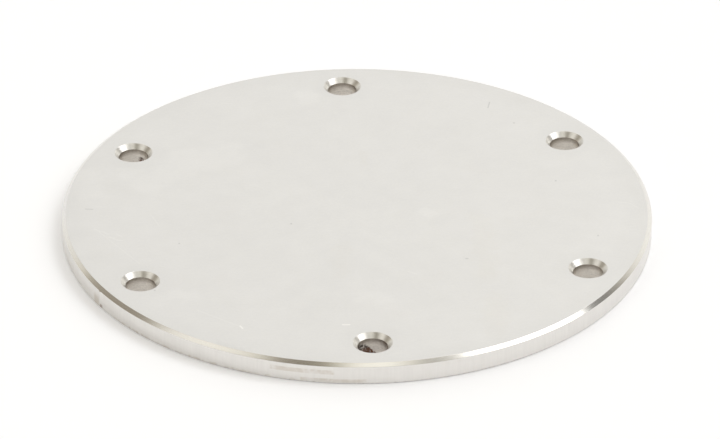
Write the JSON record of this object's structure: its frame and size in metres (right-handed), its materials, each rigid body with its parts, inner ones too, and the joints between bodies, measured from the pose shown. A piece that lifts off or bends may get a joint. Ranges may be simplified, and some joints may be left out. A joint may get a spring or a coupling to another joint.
{
  "type": "round cover plate",
  "caption": "Flat round stainless steel cover plate with a chamfered rim and a circle of countersunk bolt holes set in from its edge.",
  "frame": {"origin": "centre of the underside, the face that seats on the flange", "axes": "+Z along the disc's axis, out of the countersunk top face; one bolt hole lies on +Y"},
  "size_m": [0.22, 0.22, 0.008],
  "materials": {
    "stainless_steel": "fine satin faces with faint mottling and light scratches, bright machined chamfer and countersinks, cut rim with faint upright marks"
  },
  "bodies": {
    "root": {"cover_plate": "stainless_steel"}
  },
  "joints": []
}
